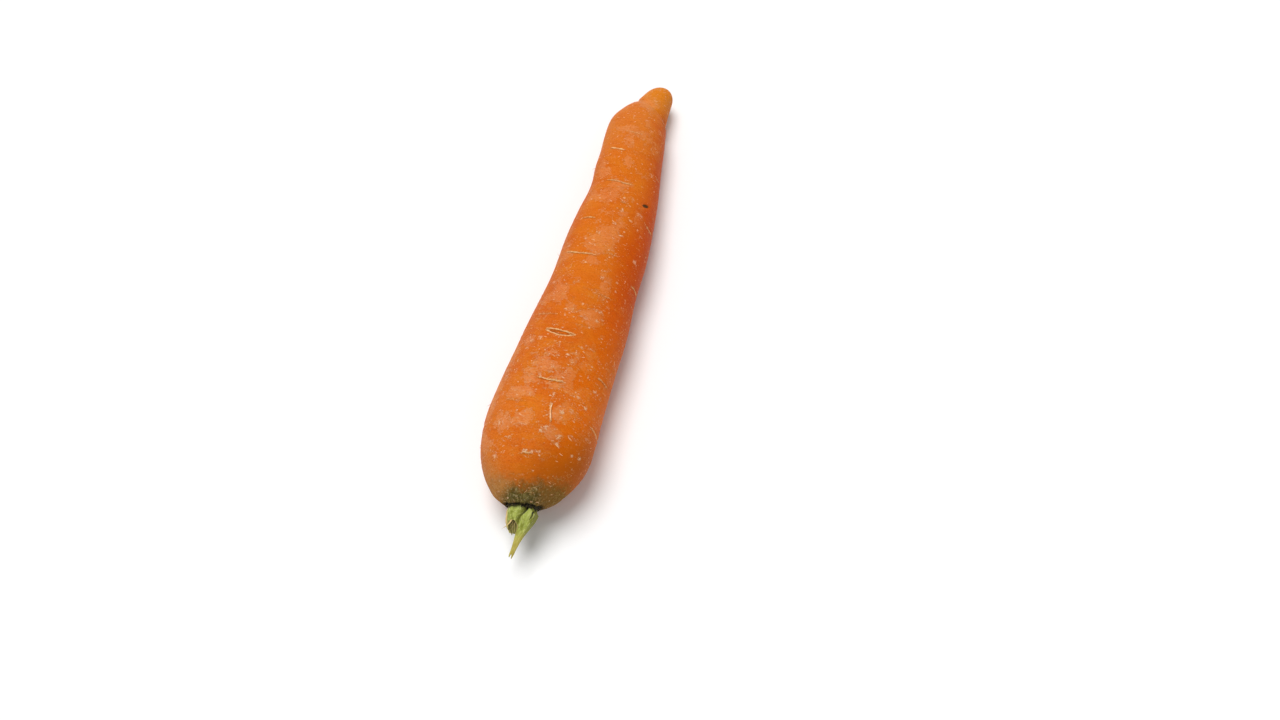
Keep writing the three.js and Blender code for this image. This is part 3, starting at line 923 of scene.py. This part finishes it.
def finish_stalk(piece, points):
    points[:, 1] += STALK_BASE
    move_points(piece, laid_along_root(points))


def smooth_course(course):
    """More places on a smooth curve through the ones given."""
    given = np.array(course)
    out = np.linspace(given[0, 0], given[-1, 0], 40)
    offsets = [np.interp(out, given[:, 0], given[:, i]) for i in (1, 2)]
    kernel = np.hanning(9) / np.hanning(9).sum()
    return columns(out, *(np.convolve(np.pad(c, 4, "edge"), kernel, "valid") for c in offsets))


CRACKS = [  # distance outwards and sideways place where each crack starts and ends
    ((4.6, 4.6), (7.6, 4.3)),
    ((6.6, 4.7), (9.3, 3.7)),
]


def split_edge_shade(points, side):
    """1 on the edge that has dried apart from the neighbour on that side, 0 away from it; painted
    shade darkens it.
    """
    out = -points[:, 1]
    inwards = side * (split_at(out) - points[:, 0]) - split_gap(out) / 2
    return np.exp(-(np.maximum(inwards, 0) / 0.3) ** 2) * (1 - fade(6.8, 8.8, out))


def long_shape(points, out, angle):
    rib = ribbed(angle, out, 7, 0.06)
    pressed = 0.5 * (1 - fade(7.5, 10.5, out)) * (points[:, 0] < 0)  # against its neighbour
    points[:, 0] *= rib * (1 + pressed)
    points[:, 2] *= rib * (1.1 - 0.55 * fade(4, 14, out))
    # The strip ends in a fork.
    forked = fade(18, 21, out)
    points[:, 1] += 1.3 * forked * np.maximum(1 - np.abs(points[:, 0] + 0.1) / 0.4, 0)
    points[:, 1] += 0.3 * forked * np.sin(9 * points[:, 0] + 1)
    points[:, 0] *= 1 + 0.2 * forked


long_stalk, points = stalk(
    "stalk_long_green",
    [
        (1.2, 0), (2.3, 0), (2.5, 1.6), (2.8, 3.2), (3.2, 5), (3.4, 7),
        (3.2, 8.8), (2.6, 10.6), (1.9, 12.6), (1.35, 14.8), (1.0, 17), (0.8, 19.2),
        (0.65, 20.8), (0.4, 21.2), (0, 21.2),
    ],
    smooth_course([(0, 2.9, 1.0), (4, 2.9, 1.2), (7, 2.8, 1.3), (10.6, 2.4, 0.5),
                   (14.8, 1.3, -1.2), (21.3, 0, -4.2)]),
    long_shape,
)
out = -points[:, 1]
cracked = np.zeros_like(out)
for (start, start_x), (end, end_x) in CRACKS:
    middle = start_x + (out - start) / (end - start) * (end_x - start_x)
    middle += 0.2 * np.sin(2.6 * out)
    window = fade(start - 0.6, start, out) * (1 - fade(end - 0.8, end, out))
    cracked = np.maximum(cracked, np.exp(-((points[:, 0] - middle) / 0.2) ** 2) * window)
cracked *= points[:, 2] > 0
points[:, 2] -= 0.6 * cracked
left_limit = split_at(out) + split_gap(out) / 2 - 3 * fade(11.5, 18, out)
points[:, 0] = np.maximum(points[:, 0], left_limit)
points[:, 2] = np.maximum(points[:, 2], UNDER_TOP + SPLIT_GAP - 10 * fade(10, 18, out))
keep_attribute(long_stalk, "crack", np.maximum(cracked, split_edge_shade(points, side=-1)))
finish_stalk(long_stalk, points)


def hollow_shape(points, out, angle):
    frayed = 0.25 * np.sin(11 * angle) + 0.2 * np.sin(19 * angle + 1)
    ragged = 0.3 * np.sin(3 * angle) + 0.2 * np.sin(5 * angle + 1)
    ragged += frayed * fade(0.2, -0.8, np.sin(angle))
    slant = 2.2 * np.sin(angle) + ragged
    slant[np.hypot(points[:, 0], points[:, 2]) < 0.01] = 0  # the axis has no direction of its own
    points[:, 1] += fade(5, 9.5, out) * slant
    rib = ribbed(angle, out, 6, 0.05)
    pressed = 0.5 * (1 - fade(7.5, 10, out)) * (points[:, 0] > 0)
    points[:, 0] *= rib * (1 + pressed)
    points[:, 2] *= rib


hollow_stalk, points = stalk(
    "stalk_hollow_green",
    [
        (1.6, 0), (3.4, 0), (3.5, 2), (3.5, 4.5), (2.9, 7), (2.3, 9.2),
        (1.95, 11.1), (1.6, 11.3), (1.3, 10.9), (1.3, 9.6), (1.15, 8.0), (0.8, 6.8),
        (0, 6.6),
    ],
    smooth_course([(0, -1.5, 1.0), (4, -1.6, 1.2), (7, -1.9, 1.0), (9.2, -2.1, 0.5),
                   (11.4, -1.5, 0.1), (13.6, -0.8, -0.2)]),
    hollow_shape,
)
grown = points_of(hollow_stalk)  # straight, as it was before it was shaped
wall = np.hypot(grown[:, 0], grown[:, 2])
leftmost = -grown[:, 0] / np.maximum(wall, 1e-3)
lining = fade(6.4, 7.2, -grown[:, 1]) * (1 - fade(1.35, 1.85, wall))
keep_attribute(hollow_stalk, "inside", lining)
keep_attribute(hollow_stalk, "edge", fade(0.90, 0.98, leftmost) * fade(1.7, 2.1, wall))
out = -points[:, 1]
points[:, 0] = np.minimum(points[:, 0], split_at(out) - split_gap(out) / 2)
points[:, 2] = np.maximum(points[:, 2], UNDER_TOP + SPLIT_GAP)
keep_attribute(hollow_stalk, "crack", split_edge_shade(points, side=1))
finish_stalk(hollow_stalk, points)


def under_shape(points, out, angle):
    ragged = 0.6 * np.sin(4 * angle + 2) + 0.4 * np.sin(7 * angle) + 0.2 * np.sin(19 * angle)
    radius = np.hypot(points[:, 0], points[:, 2])
    points[:, 1] -= fade(4, 7, out) * ragged * np.minimum(1, radius / 2)
    rib = ribbed(angle, out, 8, 0.05)
    points[:, 0] *= rib
    points[:, 2] *= rib * 0.45


under_stalk, points = stalk(
    "stalk_under_green",
    [
        (2.0, 0), (4.0, 0), (4.1, 1.6), (4.1, 3.4), (4.0, 5.2), (3.6, 6.8),
        (2.4, 7.2), (1.2, 6.6), (0, 6.9),
    ],
    smooth_course([(0, 0.1, -3.4), (3.6, 0.1, -3.4), (7.2, 0.3, -3.9)]),
    under_shape,
)
points[:, 2] = np.minimum(points[:, 2], UNDER_TOP)
finish_stalk(under_stalk, points)

# Torn fibres: one pale splinter of skin beside the hollow stalk, and thin ones inside it.
SPLINTERS = [  # start, end and thickness at the start
    ((-2.3, -6.4, 2.1), (-4.5, -9.9, 2.2), 0.75),
    ((-2.6, -4.6, 0.6), (-2.2, -8.6, 1.1), 0.24),
    ((-2.0, -4.6, 0.2), (-1.3, -8.9, 0.7), 0.2),
    ((-1.5, -4.9, 0.9), (-1.9, -7.6, 1.4), 0.18),
    ((-2.8, -4.8, -0.2), (-1.8, -9.6, 0.0), 0.22),
]


def splinter_shapes(flat):
    for start, end, thickness in SPLINTERS:
        start, end = np.array(start), np.array(end)
        out = -flat[:, 1:2]
        middle = start + (end - start) * out
        middle[:, 0] += 0.12 * np.linalg.norm(end - start) * np.sin(math.pi * out[:, 0])
        ends = flat * np.array([1, 0, 1]) * thickness * (1 - 0.85 * out)
        yield laid_along_root(middle + ends)


splinters = strips("splinters", 0.6, 5, splinter_shapes)
straight_splinters = points_of(splinters) / MM
keep_attribute(splinters, "stalk", straight_splinters)
for name, value in (("inside", 0.35), ("edge", 0.0), ("crack", 0.0)):
    keep_attribute(splinters, name, np.full(len(straight_splinters), value))
hollow_stalk = joined([hollow_stalk, splinters])


def stalk_material():
    material, tree, shader = new_material("green_stalk")
    place = stored(tree, "stalk", "Vector")
    inside = stored(tree, "inside")
    across, back = put(tree, "ShaderNodeSeparateXYZ", {}, {0: place}).outputs[:2]

    # Yellow-green with paler fibres along it, with painted shade darkening it towards its foot and
    # down its right side.
    blotches = noise(stretched(place, (1, 0.5, 1)), 0.5, 4.0, 0.6)
    colour = painted((132, 139, 44), (172, 182, 84), ramp(blotches, 0.38, 0.60))
    # Painted shade down the right side.
    colour = painted(colour, (118, 114, 36), ramp(across, 0.2, 2.6), 0.75)
    fibres = noise(stretched(place, (2.6, 0.22, 2.6)), 1.0, 4.0, 0.7)
    colour = painted(colour, (220, 224, 146), ramp(fibres, 0.53, 0.64), 0.6)
    colour = painted(colour, (96, 104, 36), ramp(fibres, 0.45, 0.34), 0.6)
    # Painted shade towards the foot.
    foot = ramp(total(back, times(blotches, 3.0)), -3.8, -2.4)
    colour = painted(colour, (58, 54, 24), foot, 0.8)
    strip_end = ramp(back, -11.0, -17.0)
    colour = painted(colour, (200, 172, 84), strip_end, 0.6)

    # Skin on the left edge is dried cream; the torn inside is dull brownish green.
    colour = painted(colour, (226, 190, 132), stored(tree, "edge"), 0.85)
    # Painted shade: the cracks and the edges beside the gap between stalks are made nearly black.
    colour = painted(colour, (44, 44, 16), ramp(stored(tree, "crack"), 0.25, 0.7))
    torn = painted((96, 92, 40), (160, 148, 84), ramp(fibres, 0.42, 0.6))
    colour = painted(colour, torn, ramp(inside, 0.5, 0.9))
    rim = times(ramp(inside, 0.1, 0.3), ramp(inside, 0.8, 0.5))
    colour = painted(colour, (216, 186, 128), rim, 0.8)
    tree.links.new(colour, shader.inputs["Base Color"])

    roughness = total(times(strongest(foot, inside, strip_end), 0.25), 0.48)
    tree.links.new(roughness, shader.inputs["Roughness"])
    shader.inputs["Specular IOR Level"].default_value = 0.3
    add_relief(shader, total(times(fibres, 0.8), times(blotches, 0.3)), 0.8, 0.3)
    let_light_in(shader, 0.12, (0.5, 0.7, 0.15), 1.0)
    return material


green_stalk = stalk_material()
for piece, node in (
    (long_stalk, "stalk_long"),
    (hollow_stalk, "stalk_hollow"),
    (under_stalk, "stalk_under"),
):
    piece.data.materials.clear()
    piece.data.materials.append(green_stalk)
    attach(piece, "root")
    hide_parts(node)

# ---- Loose skin -----------------------------------------------------------------------------
# Shreds of the dried outer skin that still hang on: thin, pale and curled, each stuck down at one
# end. Most lie across the root, as the skin's bands do.

SHREDS_PLACED = [  # distance from the rim, direction, length, width, turn in degrees from across
    (27.5, 77, 6.8, 0.5, 79), (16.5, 62, 2.2, 0.3, 25), (19.6, 63, 2.4, 0.3, -50),
    (20.4, 51, 2.0, 0.3, 30), (24.4, 105, 2.2, 0.25, 20), (34.2, 42, 1.6, 0.7, 40),
    (42.0, 35, 1.8, 0.25, 10), (68.0, 101, 1.2, 0.3, 10), (104.5, 67, 1.8, 0.3, -20),
    (109.2, 83, 1.4, 0.3, 30), (112.5, 60, 1.8, 0.25, 15), (5.0, 52, 1.7, 0.09, 12),
    (4.2, 47, 1.3, 0.09, -10), (3.2, 96, 0.9, 0.09, 20), (2.6, 36, 0.7, 0.10, -10),
    (2.2, 84, 0.8, 0.09, -30), (1.6, 28, 0.6, 0.12, 0), (0.9, 142, 0.6, 0.12, -30),
    (0.7, 50, 0.9, 0.14, 0), (0.6, 128, 0.7, 0.12, 10), (0.5, 66, 0.6, 0.13, 20),
]
SHRED_COUNT = 190  # scattered ones


def skin_radius(along, angle):
    return stations_at(along)[2] * (1 + swelling(along, angle)) + skin_relief(along, angle)


def shred_shapes(flat):
    draw = random.Random(31)
    places = list(SHREDS_PLACED)
    for _ in range(SHRED_COUNT):
        places.append((
            10 + 171 * draw.random() ** 1.25,
            draw.uniform(-35, 215),
            draw.uniform(0.3, 1.5),
            draw.uniform(0.10, 0.26),
            draw.gauss(0, 28),
        ))
    for along, direction, length, width, turn in places:
        out = -flat[:, 1]  # 0 where it is stuck down, 1 at its loose end
        ragged = 1 + 0.35 * np.sin(7 * out + along)
        sideways = flat[:, 0] * width * ragged * np.sin(math.pi * (0.15 + 0.75 * out))
        lengthwise = (out - 0.5) * length
        curl = draw.uniform(0.05, 0.22) * out**2
        bow = draw.uniform(-0.3, 0.3) * length * (out - 0.5) ** 2
        turn = math.radians(turn) + (math.pi if draw.random() < 0.5 else 0)
        across = lengthwise * math.cos(turn) - (sideways + bow) * math.sin(turn)
        down = lengthwise * math.sin(turn) + (sideways + bow) * math.cos(turn)
        direction = math.radians(direction)
        about = stations_at(np.array([along]))[2][0]
        angle = direction + across / about
        places_along = along + down
        radius = skin_radius(places_along, angle) + flat[:, 2] + curl - 0.02
        places_along -= crown_lip(places_along, angle)
        yield laid_along_root(columns(radius * np.cos(angle), places_along, radius * np.sin(angle)))


shreds = strips("loose_skin", 0.07, 3, shred_shapes)
shreds.data.materials.append(dry_material("loose_skin", (238, 176, 122), (246, 212, 176), 0.62))
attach(shreds, "root")

# ---- Rootlets -------------------------------------------------------------------------------
# Hair-thin side roots, dried and broken short, that stand out of the scars on the root's sides.

ROOTLETS = [  # distance from the rim, direction, length, and how far the end droops
    (43.9, 21, 3.0, 0.6), (68, 24, 2.2, -0.4), (96, 168, 2.0, 0.5), (121, 19, 1.8, 0.4),
    (31, 172, 1.8, 0.6), (139, 162, 1.6, -0.3), (87, 28, 1.4, 0.3), (158, 22, 1.5, 0.4),
]


def rootlet_shapes(flat):
    draw = random.Random(8)
    for along, direction, length, droop in ROOTLETS:
        out = -flat[:, 1]
        angle = math.radians(direction)
        foot = skin_radius(np.array([float(along)]), np.array([angle]))[0] - 0.25
        outwards = foot + 0.75 * length * np.sin(out * math.pi / 2.4)
        lengthwise = along + 0.8 * length * (out**1.6) * draw.choice([-1, 1])
        thickness = 0.16 * (1 - 0.7 * out)
        height = outwards * math.sin(angle) - droop * out**2 + flat[:, 2] * thickness
        lengthwise += flat[:, 0] * thickness
        yield laid_along_root(columns(outwards * math.cos(angle), lengthwise, height))


rootlets = strips("rootlets", 1.0, 5, rootlet_shapes)
rootlets.data.materials.append(dry_material("rootlet", (214, 148, 80), (240, 200, 140), 0.62))
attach(rootlets, "root")

# ---- Table and light ------------------------------------------------------------------------
# A plain white table under soft light: a large key from the upper left, and a bright room.

TABLE_SIZE = 12  # metres, so that its edges lie far outside the view
ROOM_BRIGHTNESS = 0.36

bpy.ops.object.select_all(action="DESELECT")
bpy.ops.mesh.primitive_plane_add(size=TABLE_SIZE, location=(0, 0, 0))
table = bpy.context.object
table.name = "table"
table_material, _, table_shader = new_material("white_table")
table_shader.inputs["Base Color"].default_value = (0.93, 0.93, 0.93, 1)
table_shader.inputs["Roughness"].default_value = 0.7
table.data.materials.append(table_material)


def sun(name, towards, strength, spread):
    """A wide soft light from far off, which lights the whole table alike."""
    data = bpy.data.lights.new(name, "SUN")
    data.energy = strength
    data.angle = math.radians(spread)
    light = bpy.data.objects.new(name, data)
    bpy.context.scene.collection.objects.link(light)
    light.location = towards
    light.rotation_euler = (-Vector(towards)).to_track_quat("-Z", "Y").to_euler()


sun("key", towards=(-0.19, 0.2, 0.96), strength=2.35, spread=32)
sun("fill", towards=(0.0, -0.55, 0.83), strength=0.2, spread=60)
world = bpy.data.worlds.new("room")
world.use_nodes = True
room = world.node_tree.nodes["Background"]
room.inputs["Color"].default_value = (1, 1, 1, 1)
room.inputs["Strength"].default_value = ROOM_BRIGHTNESS
bpy.context.scene.world = world
bpy.context.scene.view_settings.view_transform = "Standard"
